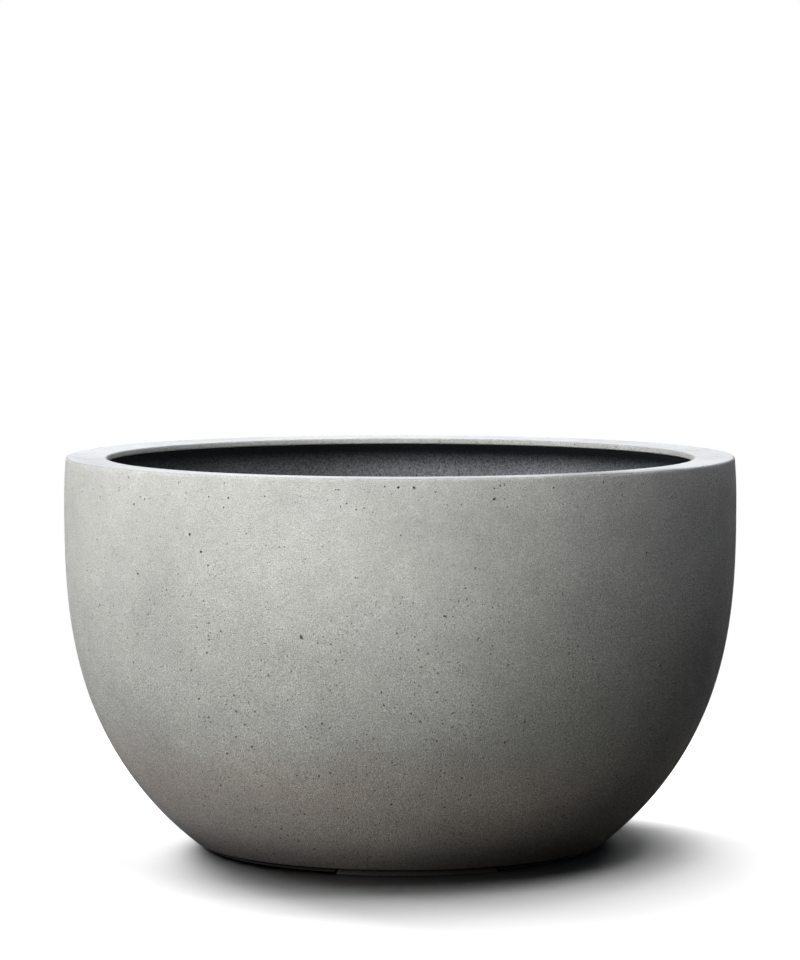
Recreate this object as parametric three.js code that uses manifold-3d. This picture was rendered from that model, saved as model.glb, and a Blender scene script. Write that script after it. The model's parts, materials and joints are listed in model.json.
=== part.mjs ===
// A round bowl planter of fibre-reinforced concrete, built piece by piece.
//
// Units are millimetres and +Z is up. The origin is the middle of the planter on the ground,
// and the front is at -Y.
//
// The pieces:
//   concrete_shell   the thin cast bowl: full rounded side, flat rim folded inwards to a lip,
//                    flat floor with a drain hole, and a low foot ring under the floor
//   fibre_liner      the dark laminate bonded to the whole inside, from the lip to the drain
//   foot_pad_1..3    the slant-ended pads that stand in notches of the foot ring
//   drain_plug       the rubber bung that closes the drain hole and lifts straight out

import * as THREE from 'three'
import { mergeVertices } from 'three/addons/utils/BufferGeometryUtils.js'
import Module from 'manifold-3d'

// ---------------------------------------------------------------- driving dimensions

// the bowl's outer form
const bowlDiameter = 600
const bowlHeight = 350
const widestBelowRim = 40 // the side is widest this far under the rim
const rimDrawIn = 1.7 // and is this much narrower again, per side, at the rim
const baseEdgeDiameter = 367 // where the side turns under
const sideFullness = 2.77 // higher keeps the side upright for longer
const baseFullness = 1.7 // higher makes the turn towards the base rounder
const baseEdgeRound = 2

// the casting's walls
const wallThickness = 8
const floorThickness = 10
const floorBlend = 26 // size of the soft turn from wall to floor, inside

// the rim
const rimWidth = 35
const rimEdgeRound = 2.5
const lipThickness = 4.5 // upright inner face of the lip
const lipEdgeRound = 1.1
const lipSlope = 5 // the lip's underside falls this much on its way out to the wall
const lipFillet = 12

// the liner
const linerThickness = 3
const linerSetBack = 4 // from the lip's inner face to the liner's edge

// the foot ring under the floor
const footHeight = 5.6
const footRecess = 6 // the ring stands this far inside the edge where the side turns under
const footRingWidth = 27
const footRingLift = 1.5 // the ring ends this far above the ground, the pads carry the weight
const footEdgeRound = 1

// the foot pads
const padCount = 3
const padArc = THREE.MathUtils.degToRad(46)
const padTurn = THREE.MathUtils.degToRad(5) // the first pad's middle, right of the front
const padWidth = 24 // measured towards the planter's middle
const padProud = 1.8 // how far the pads stand out past the foot ring
const padSeatDepth = 1 // the notch goes this deep into the underside of the floor
const padEndSlant = 3.5 // each end of a pad leans in this much from bottom to top
const padEndGap = 3 // open slit between a pad's end and the ring
const padEdgeRound = 0.8

// the drain hole and its plug
const drainDiameter = 28
const drainChamfer = 1.5
const plugFlange = 9 // how far the plug's head reaches past the hole
const plugHeadHeight = 5
const plugHeadRound = 2.2
const plugTipUp = 1.2 // the stem ends this far above the floor's underside
const plugRibCount = 2
const plugRibDepth = 1.4
const plugRibLength = 3.2
const tabWidth = 22
const tabHeight = 13
const tabThickness = 4
const tabBeadDiameter = 7
const tabRoot = 1.5 // the tab is sunk this far into the head

// clearances
const seatGap = 0.3 // between two pieces that touch
const cutOverrun = 1 // a cutting shape goes this far past what it cuts

// how finely the round forms are divided
const roundSteps = 72
const outerWallSteps = 15
const innerWallSteps = 7
const edgeSteps = 3
const blendSteps = 4
const padSteps = 10
const plugRoundSteps = 24

// ---------------------------------------------------------------- sizes that follow

const bowlRadius = bowlDiameter / 2
const baseEdgeRadius = baseEdgeDiameter / 2
const widestHeight = bowlHeight - widestBelowRim
const rimOuterRadius = bowlRadius - rimDrawIn
const lipRadius = rimOuterRadius - rimWidth
const lipUnderside = bowlHeight - lipThickness
const floorTop = footHeight + floorThickness
const linerTop = floorTop + seatGap + linerThickness
const ringOuterRadius = baseEdgeRadius - footRecess
const ringInnerRadius = ringOuterRadius - footRingWidth
const padOuterRadius = ringOuterRadius + padProud
const padInnerRadius = padOuterRadius - padWidth
const notchTop = footHeight + padSeatDepth
const drainRadius = drainDiameter / 2

// depth of the rounded side's curve, chosen so that the side passes through the base edge
const curveDepth = (widestHeight - footHeight) /
  (1 - (baseEdgeRadius / bowlRadius) ** baseFullness) ** (1 / sideFullness)

// ---------------------------------------------------------------- outlines

const point = (r, z) => new THREE.Vector2(r, z)

/** Radius of the planter's outer face at height z. */
function outerRadius(z) {
  if (z > widestHeight) {
    return bowlRadius - rimDrawIn * ((z - widestHeight) / widestBelowRim) ** 2
  }
  const drop = (widestHeight - z) / curveDepth
  return bowlRadius * (1 - drop ** sideFullness) ** (1 / baseFullness)
}

/** The point that lies `inset` inside the outer face, square to it, at the face's height z. */
function wallPoint(inset, z) {
  const step = 0.01
  const slope = (outerRadius(z + step) - outerRadius(z - step)) / (2 * step)
  const length = Math.hypot(1, slope)
  return point(outerRadius(z) - inset / length, z + inset * slope / length)
}

/** The height on the outer face whose inset point lies at the height wanted. */
function faceHeightFor(inset, wanted) {
  let z = wanted
  for (let round = 0; round < 20; round++) {
    z += wanted - wallPoint(inset, z).y
  }
  return z
}

/** A stretch of the side, inset by a distance, between two heights on the outer face. */
class WallCurve extends THREE.Curve {
  constructor(inset, from, to) {
    super()
    this.inset = inset
    this.from = from
    this.to = to
  }

  getPoint(share) {
    return wallPoint(this.inset, THREE.MathUtils.lerp(this.from, this.to, share))
  }
}

/** Replaces the corner between two neighbours by a round that starts `size` away from it. */
function roundedCorner(before, corner, after, size, steps) {
  const room = 0.45 * Math.min(before.distanceTo(corner), after.distanceTo(corner))
  const reach = Math.min(size, room)
  const start = corner.clone().add(before.clone().sub(corner).setLength(reach))
  const end = corner.clone().add(after.clone().sub(corner).setLength(reach))
  return new THREE.QuadraticBezierCurve(start, corner, end).getPoints(steps)
}

/** An outline from corners [r, z, round, steps], where the last two may be left out. */
function outline(corners, closed = true) {
  const at = corners.map(([r, z]) => point(r, z))
  const count = at.length
  return corners.flatMap(([, , size = 0, steps = edgeSteps], i) => {
    const open = !closed && (i === 0 || i === count - 1)
    if (open || size === 0) {
      return [at[i]]
    }
    return roundedCorner(at[(i + count - 1) % count], at[i], at[(i + 1) % count], size, steps)
  })
}

/** A line moved sideways by a distance, to the left of its own direction. */
function offsetLine(line, distance) {
  return line.map((here, i) => {
    const back = here.clone().sub(line[Math.max(i - 1, 0)])
    const ahead = line[Math.min(i + 1, line.length - 1)].clone().sub(here)
    const arriving = (i === 0 ? ahead : back).normalize()
    const leaving = (i === line.length - 1 ? back : ahead).normalize()
    const along = arriving.clone().add(leaving).normalize()
    const stretch = distance / along.dot(leaving)
    return point(here.x - along.y * stretch, here.y + along.x * stretch)
  })
}

// ---------------------------------------------------------------- solids

const wasm = await Module()
wasm.setup()

/** A closed geometry as a solid that can be joined and cut. */
function toSolid(geometry) {
  const bare = geometry.clone()
  bare.deleteAttribute('normal')
  bare.deleteAttribute('uv')
  const merged = mergeVertices(bare, 1e-4)
  return new wasm.Manifold(new wasm.Mesh({
    numProp: 3,
    vertProperties: new Float32Array(merged.attributes.position.array),
    triVerts: new Uint32Array(merged.index.array)
  }))
}

/** A solid as a geometry again. */
function toGeometry(solid) {
  const mesh = solid.getMesh()
  const geometry = new THREE.BufferGeometry()
  geometry.setAttribute('position', new THREE.BufferAttribute(mesh.vertProperties, 3))
  geometry.setIndex(new THREE.BufferAttribute(mesh.triVerts, 1))
  return geometry
}

/** Turns an outline of radius and height round the Z axis. */
function revolve(points, steps = roundSteps) {
  return new THREE.LatheGeometry(points, steps).rotateX(Math.PI / 2)
}

/** Turns an outline that goes round a hole: the first point is met again at the end. */
function revolveRing(points, steps = roundSteps) {
  return revolve([...points, points[0].clone()], steps)
}

/**
 * Runs a closed section of radius and height along an arc round the Z axis, centred on the
 * front. The half angle may differ with height, which makes the ends lean.
 */
function sweepArc(section, halfAngleAt, steps) {
  const places = []
  const faces = []
  const size = section.length
  for (let step = 0; step <= steps; step++) {
    const share = 2 * step / steps - 1
    for (const { x: r, y: z } of section) {
      const angle = share * halfAngleAt(z)
      places.push(r * Math.sin(angle), -r * Math.cos(angle), z)
    }
  }
  for (let step = 0; step < steps; step++) {
    for (let i = 0; i < size; i++) {
      const a = step * size + i
      const b = step * size + (i + 1) % size
      faces.push(a, a + size, b, b, a + size, b + size)
    }
  }
  const last = steps * size
  for (let i = 1; i < size - 1; i++) {
    faces.push(0, i, i + 1)
    faces.push(last, last + i + 1, last + i)
  }
  const geometry = new THREE.BufferGeometry()
  geometry.setAttribute('position', new THREE.Float32BufferAttribute(places, 3))
  geometry.setIndex(faces)
  return geometry
}

// ---------------------------------------------------------------- concrete shell

/** The casting's inner side, from the lip's lower edge down the wall to the drain hole. */
function innerSide() {
  const lipCorner = lipUnderside - lipSlope
  const upper = faceHeightFor(wallThickness, lipCorner)
  const lower = faceHeightFor(wallThickness, floorTop + floorBlend)
  const wall = new WallCurve(wallThickness, upper, lower).getSpacedPoints(innerWallSteps)
  const [above, lowest] = wall.slice(-2)
  const lean = lowest.clone().sub(above)
  const reach = lowest.x + lean.x * (floorTop - lowest.y) / lean.y
  return outline([
    [lipRadius, lipUnderside],
    [wall[0].x, wall[0].y, lipFillet],
    ...wall.slice(1, -1).map(({ x, y }) => [x, y]),
    [reach, floorTop, floorBlend, blendSteps],
    [drainRadius + drainChamfer, floorTop]
  ], false)
}

/** The outer side, from the base edge to the rim, without its two end points. */
function outerSide() {
  const wall = new WallCurve(0, footHeight, bowlHeight).getSpacedPoints(outerWallSteps)
  return wall.slice(1, -1).map(({ x, y }) => [x, y])
}

/** The whole section of the casting: up the outside, over the rim and down the inside. */
function shellSection() {
  return outline([
    [ringInnerRadius, footHeight, footEdgeRound, 1],
    [ringInnerRadius, footRingLift, footEdgeRound, 1],
    [ringOuterRadius, footRingLift, footEdgeRound, 1],
    [ringOuterRadius, footHeight, footEdgeRound, 1],
    [baseEdgeRadius, footHeight, baseEdgeRound],
    ...outerSide(),
    [rimOuterRadius, bowlHeight, rimEdgeRound],
    [lipRadius, bowlHeight, lipEdgeRound],
    [lipRadius, lipUnderside, lipEdgeRound, 2],
    ...innerSide().slice(1).map(({ x, y }) => [x, y]),
    [drainRadius, floorTop - drainChamfer],
    [drainRadius, footHeight + drainChamfer],
    [drainRadius + drainChamfer, footHeight]
  ])
}

/** What is cut from the foot ring for one pad: the pad's own form, with room round it. */
function notch() {
  const section = outline([
    [ringInnerRadius - cutOverrun, -cutOverrun],
    [padOuterRadius + seatGap, -cutOverrun],
    [padOuterRadius + seatGap, notchTop],
    [ringInnerRadius - cutOverrun, notchTop]
  ])
  return sweepArc(section, z => padHalfAngle(z) + padEndGap / padOuterRadius, padSteps)
}

function makeShell() {
  let solid = toSolid(revolveRing(shellSection()))
  for (let i = 0; i < padCount; i++) {
    solid = solid.subtract(toSolid(notch().rotateZ(padAngle(i))))
  }
  return toGeometry(solid)
}

// ---------------------------------------------------------------- liner

function makeLiner() {
  const [edge, ...rest] = innerSide()
  const inward = rest[0].clone().sub(edge).setLength(linerSetBack)
  const backing = [edge.clone().add(inward), ...rest]
  const glued = offsetLine(backing, -seatGap)
  const bare = offsetLine(backing, -seatGap - linerThickness)
  return revolveRing([...glued.reverse(), ...bare])
}

// ---------------------------------------------------------------- foot pads

/** Half the angle that a pad spans, at height z: its ends lean in towards the top. */
function padHalfAngle(z) {
  return padArc / 2 - padEndSlant / padOuterRadius * z / notchTop
}

/** Where pad number i stands, as a turn from the front. */
function padAngle(i) {
  return padTurn + i * 2 * Math.PI / padCount
}

function makePad() {
  const section = outline([
    [padInnerRadius, 0, padEdgeRound, 1],
    [padOuterRadius, 0, padEdgeRound, 2],
    [padOuterRadius, notchTop - seatGap, padEdgeRound, 2],
    [padInnerRadius, notchTop - seatGap]
  ])
  return sweepArc(section, padHalfAngle, padSteps)
}

// ---------------------------------------------------------------- drain plug

/** The ribs on the stem: each widens slowly from below and steps back above. */
function plugRibs(core, bottom, top) {
  const pitch = (top - bottom) / plugRibCount
  const ribs = []
  for (let start = bottom; start < top - pitch / 2; start += pitch) {
    ribs.push([core, start])
    ribs.push([core + plugRibDepth, start + plugRibLength])
    ribs.push([core, start + plugRibLength])
  }
  return ribs
}

/** The plug with the underside of its head at height 0. */
function makePlug() {
  const tip = footHeight + plugTipUp - linerTop - seatGap
  const core = drainRadius - seatGap - plugRibDepth
  const headRadius = drainRadius + plugFlange
  const profile = outline([
    [0, tip],
    [core - plugRibDepth, tip],
    ...plugRibs(core, tip + plugRibDepth, 0),
    [core, 0],
    [headRadius, 0, plugHeadRound / 2, 1],
    [headRadius, plugHeadHeight, plugHeadRound],
    [0, plugHeadHeight]
  ], false)
  const body = toSolid(revolve(profile, plugRoundSteps))
  return toGeometry(body.add(toSolid(makeTab())))
}

/** The grip on the plug's head: a flat tab with a round bead along its top. */
function makeTab() {
  const bead = tabBeadDiameter / 2
  const half = tabThickness / 2
  const foot = plugHeadHeight - tabRoot
  const beadHeight = plugHeadHeight + tabHeight - bead
  const meet = Math.asin(half / bead)
  const section = new THREE.Shape()
  section.moveTo(-half, foot)
  section.lineTo(half, foot)
  section.absarc(0, beadHeight, bead, meet - Math.PI / 2, 3 * Math.PI / 2 - meet, false)
  section.closePath()
  return new THREE.ExtrudeGeometry(section, { depth: tabWidth, bevelEnabled: false, curveSegments: 10 })
    .translate(0, 0, -tabWidth / 2)
    .rotateX(Math.PI / 2)
    .rotateZ(Math.PI / 2)
}

// ---------------------------------------------------------------- materials and assembly

const material = (color, roughness) => new THREE.MeshStandardMaterial({ color, roughness, metalness: 0 })
const concrete = () => material(0xb8b7b0, 0.9)
const laminate = () => material(0x3b3c40, 0.85)
const padConcrete = () => material(0x8f8d86, 0.9)
const rubber = () => material(0x1c1c1e, 0.7)

function piece(name, geometry, finish) {
  const mesh = new THREE.Mesh(geometry, finish)
  mesh.name = name
  return mesh
}

const planter = new THREE.Group()
planter.add(piece('concrete_shell', makeShell(), concrete()))
planter.add(piece('fibre_liner', makeLiner(), laminate()))

for (let i = 0; i < padCount; i++) {
  const pad = piece(`foot_pad_${i + 1}`, makePad(), padConcrete())
  pad.rotation.z = padAngle(i)
  planter.add(pad)
}

const plug = piece('drain_plug', makePlug(), rubber())
plug.position.z = linerTop + seatGap
plug.rotation.z = padTurn
planter.add(plug)

export default planter
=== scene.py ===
# %% [markdown]
# # A concrete bowl planter
#
# This lesson dresses a finished set of plain solids as a real object: a wide, thin-walled bowl
# planter of fibre concrete with a dark lining, three foot pads and a rubber drain plug.
#
# The solids arrive as a fixed frame. It says how big everything is and what moves, so nothing here
# is placed by eye: every size below is either read from the frame or written as a real length.
# Blender works in metres. `MM` turns the workshop's millimetres into them.

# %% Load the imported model
import json
import math
import random

import bmesh
import bpy
import mathutils
import numpy as np
from mathutils import Matrix, Vector
from mathutils.geometry import delaunay_2d_cdt

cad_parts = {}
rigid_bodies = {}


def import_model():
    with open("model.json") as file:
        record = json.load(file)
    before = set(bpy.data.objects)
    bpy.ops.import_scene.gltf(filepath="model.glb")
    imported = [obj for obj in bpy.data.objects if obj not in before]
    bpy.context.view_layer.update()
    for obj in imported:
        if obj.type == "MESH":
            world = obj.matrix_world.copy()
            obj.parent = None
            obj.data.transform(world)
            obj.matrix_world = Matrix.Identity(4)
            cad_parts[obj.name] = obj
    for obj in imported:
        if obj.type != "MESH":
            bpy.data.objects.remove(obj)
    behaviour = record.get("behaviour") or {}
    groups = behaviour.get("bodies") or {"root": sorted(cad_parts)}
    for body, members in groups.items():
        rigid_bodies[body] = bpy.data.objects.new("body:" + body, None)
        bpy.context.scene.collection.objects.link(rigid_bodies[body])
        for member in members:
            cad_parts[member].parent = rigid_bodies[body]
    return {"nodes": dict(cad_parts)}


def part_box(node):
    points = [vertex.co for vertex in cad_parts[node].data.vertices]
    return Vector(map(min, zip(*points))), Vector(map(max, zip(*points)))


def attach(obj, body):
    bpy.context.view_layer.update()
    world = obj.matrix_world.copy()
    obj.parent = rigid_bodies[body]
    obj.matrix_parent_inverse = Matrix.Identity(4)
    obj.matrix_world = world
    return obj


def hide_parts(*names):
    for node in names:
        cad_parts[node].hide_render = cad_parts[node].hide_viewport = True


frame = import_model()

MM = 0.001
FULL_TURN = 2 * math.pi

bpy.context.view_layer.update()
print("nodes:", ", ".join(sorted(frame["nodes"])))

# %% [markdown]
# ## The camera
#
# A portrait of a low object is usually taken from a few steps away with a long lens, just high
# enough to look across the mouth. Far away and long keeps the two sides of the bowl upright and the
# rim a thin ellipse. The place and the focal length here were worked out from the shape of the
# rim's ellipse and of the foot, so the picture lines up with the photograph without any shift.

# %% Place the camera
IMAGE_HEIGHT_PX = 960
FOCAL_PX = 4015
SENSOR_MM = 36
camera_distance = 3.5846
camera_height = 0.5821
camera_aside = -0.25 * MM
camera_tilt = math.radians(4.065)

camera_data = bpy.data.cameras.new("portrait_camera")
camera_data.sensor_width = SENSOR_MM
camera_data.lens = FOCAL_PX / IMAGE_HEIGHT_PX * SENSOR_MM
camera_data.clip_end = 50  # metres, well past the far edge of the floor
camera = bpy.data.objects.new("portrait_camera", camera_data)
camera.location = (camera_aside, -camera_distance, camera_height)
camera.rotation_euler = (math.pi / 2 - camera_tilt, 0, 0)
bpy.context.scene.collection.objects.link(camera)
bpy.context.scene.camera = camera
print(f"camera lens {camera_data.lens:.1f} mm at {camera_distance:.2f} m")

# %% [markdown]
# ## The side of the bowl
#
# The outer side is a body of revolution, so one curve says everything: the radius at each height.
# Near the rim the side is almost upright, and it turns in ever faster towards the base. A formula
# with two exponents gives such a full curve without any bumps, which a chain of hand-placed points
# would not. The widest level lies a little under the rim, and above it the side draws in slightly.

# %% Write the side as a formula
shell_low, shell_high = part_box("concrete_shell")

SKIN_ROOM = 0.05 * MM  # the finished skin stays this far inside the solid's own face
bowl_radius = shell_high.x - SKIN_ROOM
rim_height = shell_high.z - SKIN_ROOM
ring_bottom = shell_low.z
foot_height = 5.6 * MM
base_edge_radius = 184.3 * MM
widest_height = rim_height - 40 * MM
rim_draw_in = 1.7 * MM
SIDE_FULLNESS = 2.77
BASE_FULLNESS = 1.7

curve_depth = (widest_height - foot_height) / (
    (1 - (base_edge_radius / bowl_radius) ** BASE_FULLNESS) ** (1 / SIDE_FULLNESS))


def side_radius(height):
    """Radius of the bowl's outer face at a height."""
    if height > widest_height:
        share = (height - widest_height) / (rim_height - widest_height)
        return bowl_radius - rim_draw_in * share ** 2
    drop = (widest_height - height) / curve_depth
    return bowl_radius * (1 - drop ** SIDE_FULLNESS) ** (1 / BASE_FULLNESS)


print("side radius at the base, half height and rim, mm:",
      [round(side_radius(h) / MM, 1) for h in (foot_height, rim_height / 2, rim_height)])

# %% [markdown]
# ## The section of the casting
#
# A section drawn as corners is easy to read, but cast edges are never sharp. `rounded` swaps a
# corner for a small curve that starts a given distance before it and ends as far behind it.
# Blender's Bevel modifier could do the same afterwards, but here the section is turned into
# thousands of faces, and rounding the drawing once is cheaper than bevelling the solid.

# %% Round the corners of a drawing
EDGE_STEPS = 4


def rounded(corners):
    """Points (r, z) from corners (r, z, size, steps); size and steps may be left out."""
    points = []
    for i, (r, z, *how) in enumerate(corners):
        corner = Vector((r, z))
        size = how[0] if how else 0
        steps = how[1] if len(how) > 1 else EDGE_STEPS
        if size == 0:
            points.append(corner)
            continue
        before = Vector(corners[i - 1][:2]) - corner
        after = Vector(corners[(i + 1) % len(corners)][:2]) - corner
        start = corner + before.normalized() * size
        end = corner + after.normalized() * size
        for step in range(steps + 1):
            t = step / steps
            points.append(start * (1 - t) ** 2 + corner * 2 * t * (1 - t) + end * t ** 2)
    return points


# %% [markdown]
# The drawing has two parts. The first is what people see and touch: the outer side, the wide rim
# and the thin face of the lip. It gets the fine mesh and the pores. The second part is hidden under
# the lining or under the foot, and a few long faces are enough there.

# %% Measure the casting
wall = 8 * MM
floor_top = foot_height + 10 * MM
lip_face = 4.9 * MM
lip_slope = 5 * MM
rim_width = 36.3 * MM
rim_fall = 1.2 * MM  # the rim slopes a little towards the mouth, so that water runs in
rim_edge = 2.2 * MM
lip_edge = 1.1 * MM
lip_fillet = 12 * MM
base_edge = 2 * MM
floor_radius = 176 * MM
ring_outer = 177.5 * MM
ring_inner = ring_outer - 27 * MM
ring_edge = 1 * MM
drain_radius = 14 * MM
chamfer = 1.5 * MM

rim_radius = side_radius(rim_height)
lip_radius = rim_radius - rim_width
lip_top = rim_height - rim_fall
lip_bottom = lip_top - lip_face
print("rim and lip radius, lip's top and bottom, mm:",
      [round(v / MM, 1) for v in (rim_radius, lip_radius, lip_top, lip_bottom)])

# %% Draw the visible skin
SIDE_ROWS = 88
RIM_ROWS = 8


def along_side(low, high, count):
    """Evenly spread points of the side between two heights, without the two ends."""
    heights = np.linspace(low, high, 400)
    radii = np.array([side_radius(h) for h in heights])
    run = np.concatenate([[0], np.cumsum(np.hypot(np.diff(radii), np.diff(heights)))])
    places = np.linspace(0, run[-1], count + 2)[1:-1]
    return list(zip(np.interp(places, run, radii), np.interp(places, run, heights)))


rim_line = list(zip(np.linspace(rim_radius, lip_radius, RIM_ROWS),
                    np.linspace(rim_height, lip_top, RIM_ROWS)))
skin_line = rounded([
    (ring_outer, foot_height),
    (base_edge_radius, foot_height, base_edge),
    *along_side(foot_height, rim_height, SIDE_ROWS),
    (rim_radius, rim_height, rim_edge, 6),
    *rim_line[1:-1],
    (lip_radius, lip_top, lip_edge),
    (lip_radius, lip_top - lip_face / 2),
    (lip_radius, lip_bottom, lip_edge),
    (lip_radius + rim_width / 3, lip_bottom - lip_slope / 3)])[1:]
print(len(skin_line), "rows in the visible skin")

# %% Draw the hidden rest
SLOPE_STEP = 0.01 * MM


def inner_wall(height):
    """Point of the casting's inner face behind the outer face's height, square to it."""
    rise = side_radius(height + SLOPE_STEP) - side_radius(height - SLOPE_STEP)
    slope = rise / (2 * SLOPE_STEP)
    length = math.hypot(1, slope)
    return side_radius(height) - wall / length, height + wall * slope / length


hidden_line = rounded([
    tuple(skin_line[-1]),
    (*inner_wall(lip_bottom - lip_slope), lip_fillet),
    *[inner_wall(h) for h in np.linspace(lip_bottom - 30 * MM, 32 * MM, 14)],
    (floor_radius, floor_top, 20 * MM, 6),
    (drain_radius + chamfer, floor_top),
    (drain_radius, floor_top - chamfer),
    (drain_radius, foot_height + chamfer),
    (drain_radius + chamfer, foot_height),
    (ring_inner, foot_height, ring_edge),
    (ring_inner, ring_bottom, ring_edge),
    (ring_outer, ring_bottom, ring_edge),
    (ring_outer, foot_height, ring_edge),
    tuple(skin_line[0])])
print(len(hidden_line), "rows in the hidden rest")

# %% [markdown]
# ## Pores
#
# Air trapped against the mould leaves small hollows with crisp edges, which casters call bug holes.
# Few of them are really round. A bump map would only paint them, and from the side they would
# vanish. Real hollows need small faces, though only where they are. So the skin is unrolled flat,
# each pore adds its own rings of points, and `delaunay_2d_cdt` joins them all to a coarse grid.
# Rolled up again, the rings sink into the wall.
#
# The largest pores on the front are listed from the photograph, as degrees to the right of
# the front, height and width in millimetres. The others are scattered in loose groups with a fixed
# seed, so the planter is the same each time. The upper part has fewer, and a band of very small
# ones follows the rim.

# %% Choose the pores
LARGE_PORES = [
    (-16.0, 217, 4.2), (-35.9, 299, 2.8), (-33.7, 285, 3.0), (-32.3, 274, 2.4), (-47.9, 262, 2.6),
    (-48.7, 321, 2.4), (-69.6, 291, 2.2), (-30.3, 219, 2.8), (-3.1, 172, 2.6), (-2.7, 161, 2.8),
    (-27.2, 120, 3.0), (-15.1, 97, 2.4), (-36.4, 159, 2.6), (-33.4, 200, 2.4), (-2.4, 343, 1.8),
    (-0.3, 342.5, 2.6), (2.2, 342, 3.4), (15.0, 341, 2.2), (16.0, 343, 2.0), (15.0, 332, 2.8),
    (-0.5, 222, 2.2), (32.0, 222, 2.6), (7.0, 236, 2.4), (30.0, 155, 2.2), (-61.0, 118, 2.4)]
PORE_GROUPS = 52
GROUP_PORES = (3, 11)  # fewest and most in a group
GROUP_SPREAD = (8, 34)  # mm
LONE_PORES = 200
FEW_ABOVE = 270 * MM  # near the rim the mix is denser, and every second pore is left out
RIM_BAND_PORES = 240  # small ones, in the last centimetres under the rim
SMALL_PORE = (1.1, 2.0)  # mm

rng = random.Random(11)


def pore_width():
    """A width in metres: mostly little over a millimetre, seldom three."""
    return min(0.9 + rng.lognormvariate(-0.75, 0.6), 3.2) * MM


def any_angle():
    """An angle anywhere round the bowl, where 0 is the front."""
    return rng.uniform(-math.pi, math.pi)


pores = [(math.radians(a), h * MM, w * MM) for a, h, w in LARGE_PORES]
for _ in range(PORE_GROUPS):
    middle = any_angle()
    level = rng.uniform(0.06, 0.97) * rim_height
    spread = rng.uniform(*GROUP_SPREAD) * MM
    for _ in range(rng.randint(*GROUP_PORES)):
        height = level + rng.gauss(0, spread)
        pores.append((middle + rng.gauss(0, spread) / bowl_radius, height, pore_width()))
for _ in range(LONE_PORES):
    pores.append((any_angle(), rng.uniform(0.05, 0.985) * rim_height, pore_width()))
pores = [p for i, p in enumerate(pores) if i < len(LARGE_PORES) or p[1] < FEW_ABOVE or i % 2]
for _ in range(RIM_BAND_PORES):
    place = (any_angle(), rng.uniform(0.925, 0.985) * rim_height)
    pores.append((*place, rng.uniform(*SMALL_PORE) * MM))
print(len(pores), "pores wanted on the side")

# %% [markdown]
# ## Unroll, triangulate and roll up
#
# On the unrolled skin one axis is the angle and the other is the distance along the section. Both
# are kept in metres at the widest level, so a round pore stays round after it is stretched to fit
# the narrower base.

# %% Measure along the section
strip_width = FULL_TURN * bowl_radius

line = np.array([tuple(p) for p in skin_line])
steps_along = np.hypot(*np.diff(line, axis=0).T)
run = np.concatenate([[0], np.cumsum(steps_along)])
tangent = np.gradient(line, run, axis=0)
tangent /= np.linalg.norm(tangent, axis=1)[:, None]
outward = np.stack([tangent[:, 1], -tangent[:, 0]], axis=1)

rim_row = np.argmax(line[:, 0] + line[:, 1])
lip_row = np.argmin(np.hypot(line[:, 0] - lip_radius, line[:, 1] - (lip_top - lip_face / 2)))
edge_run, lip_run = float(run[rim_row]), float(run[lip_row])
side_heights = line[3:rim_row - 3, 1]  # between the two rounded corners
side_run = run[3:rim_row - 3]
print("skin from foot to lip:", round(float(run[-1]) / MM), "mm, rim's edge at",
      round(edge_run / MM), "mm")

# %% [markdown]
# Such thin casting always loses crumbs along the rim's outer edge, and the sawn-looking face of the
# lip is full of little pits. Both are hollows like the pores, at other places on the strip: a chip
# is shallow, a pit is small. The largest chips on the front are listed one by one.

# %% Add the chips and the pits
RIM_CHIPS = [(60.8, 3.0), (52.5, 1.8), (-41.0, 2.0), (-8.5, 1.7), (19.0, 2.2), (36.0, 1.7)]
EDGE_CHIPS = 60
LIP_PITS = 70
WIDEST_PIT = 1.5 * MM
PORE_DEPTH = (1.3, 2.1)  # depth as a multiple of the pore's radius
CHIP_DEPTH = (0.45, 0.7)

hollows = [(angle, float(np.interp(height, side_heights, side_run)), width, PORE_DEPTH)
           for angle, height, width in pores if height < side_heights[-1]]
hollows += [(math.radians(a), edge_run + 0.3 * MM, w * MM, CHIP_DEPTH) for a, w in RIM_CHIPS]
for _ in range(EDGE_CHIPS):
    hollows.append((any_angle(), edge_run + rng.gauss(0, 0.5) * MM, pore_width(), CHIP_DEPTH))
for _ in range(LIP_PITS):
    width = min(pore_width(), WIDEST_PIT)
    hollows.append((any_angle(), lip_run + rng.uniform(-0.8, 0.8) * MM, width, PORE_DEPTH))
print(len(hollows), "pores, chips and pits in all")

# %% [markdown]
# A real pore is no bowl: its mouth has a crisp edge, its wall is steep and its floor nearly flat.
# Four rings of points and one in the middle can show that. Each point of the rings is moved a
# little in or out, and the whole is squeezed to an oval, so that no two pores are the same. A pore
# that would touch a neighbour or the border is left out, because rings that cross make spikes.

# %% Give each hollow its rings
PORE_RINGS = ((1.0, 0.0), (0.93, 0.45), (0.74, 0.85), (0.38, 0.98))  # share of radius, of depth
MAX_DEPTH = 2.6 * MM


def ring_points(centre, along, width, count, depths):
    """Flat places and depths of one pore: an uneven, more or less oval outline, and rings in it."""
    radius = width / 2
    stretch = bowl_radius / np.interp(along, run, line[:, 0])
    wobble = [rng.uniform(0.74, 1.16) for _ in range(count)]
    oval = rng.uniform(0.55, 1.0)
    lean = rng.uniform(0, math.pi)
    depth = min(radius * rng.uniform(*depths), MAX_DEPTH)
    turn = rng.uniform(0, FULL_TURN)
    places = []
    for share, deep in PORE_RINGS:
        for i in range(count):
            angle = turn + FULL_TURN * i / count
            reach = radius * share * (1 + (wobble[i] - 1) * share)
            long, short = reach * math.cos(angle), reach * math.sin(angle) * oval
            sideways = long * math.cos(lean) - short * math.sin(lean)
            upwards = long * math.sin(lean) + short * math.cos(lean)
            places.append((centre + sideways * stretch, along + upwards, depth * deep))
    places.append((centre, along, depth))
    return places


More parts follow.
